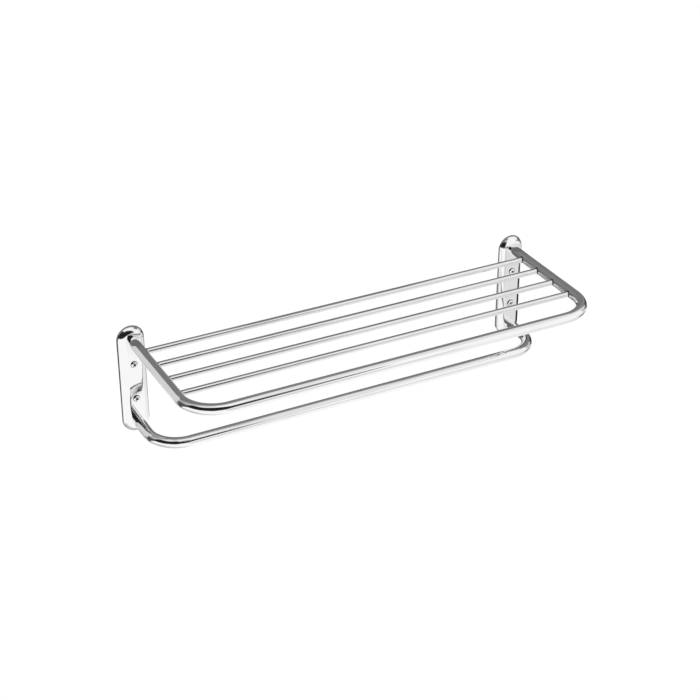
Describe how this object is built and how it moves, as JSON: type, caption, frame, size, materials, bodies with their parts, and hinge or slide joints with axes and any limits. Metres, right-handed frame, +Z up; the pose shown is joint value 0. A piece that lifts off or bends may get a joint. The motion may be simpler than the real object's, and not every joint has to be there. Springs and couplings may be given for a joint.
{
  "type": "towel rack",
  "caption": "Wall-mounted chrome towel rack: a shelf of straight rods in a bent tube frame above a bent towel rail, both carried by obround plates screwed to the wall.",
  "frame": {"origin": "centre of the pattern of four wall screws, on the wall plane behind the plates", "axes": "+X to the right along the rack, +Y into the wall, +Z up"},
  "size_m": [0.6094, 0.2433, 0.1564],
  "materials": {
    "plate_chrome": "mirror-polished chrome on a cast plate",
    "tube_chrome": "polished chrome on bent tube",
    "rod_chrome": "polished chrome on drawn rod",
    "screw_chrome": "chrome-plated screw",
    "plug_brass": "turned brass, unplated",
    "zinc_steel": "zinc-plated steel, dull"
  },
  "bodies": {
    "root": {"left_wall_plate": "plate_chrome", "right_wall_plate": "plate_chrome", "shelf_frame_tube": "tube_chrome", "towel_rail_tube": "tube_chrome", "shelf_rod_1": "rod_chrome", "shelf_rod_2": "rod_chrome", "shelf_rod_3": "rod_chrome", "shelf_rod_4": "rod_chrome", "left_upper_wall_screw": "screw_chrome", "left_lower_wall_screw": "screw_chrome", "right_upper_wall_screw": "screw_chrome", "right_lower_wall_screw": "screw_chrome", "shelf_left_tube_plug": "plug_brass", "shelf_left_tube_screw": "zinc_steel", "shelf_left_spring_washer": "zinc_steel", "shelf_right_tube_plug": "plug_brass", "shelf_right_tube_screw": "zinc_steel", "shelf_right_spring_washer": "zinc_steel", "rail_left_tube_plug": "plug_brass", "rail_left_tube_screw": "zinc_steel", "rail_left_spring_washer": "zinc_steel", "rail_right_tube_plug": "plug_brass", "rail_right_tube_screw": "zinc_steel", "rail_right_spring_washer": "zinc_steel"}
  },
  "joints": []
}
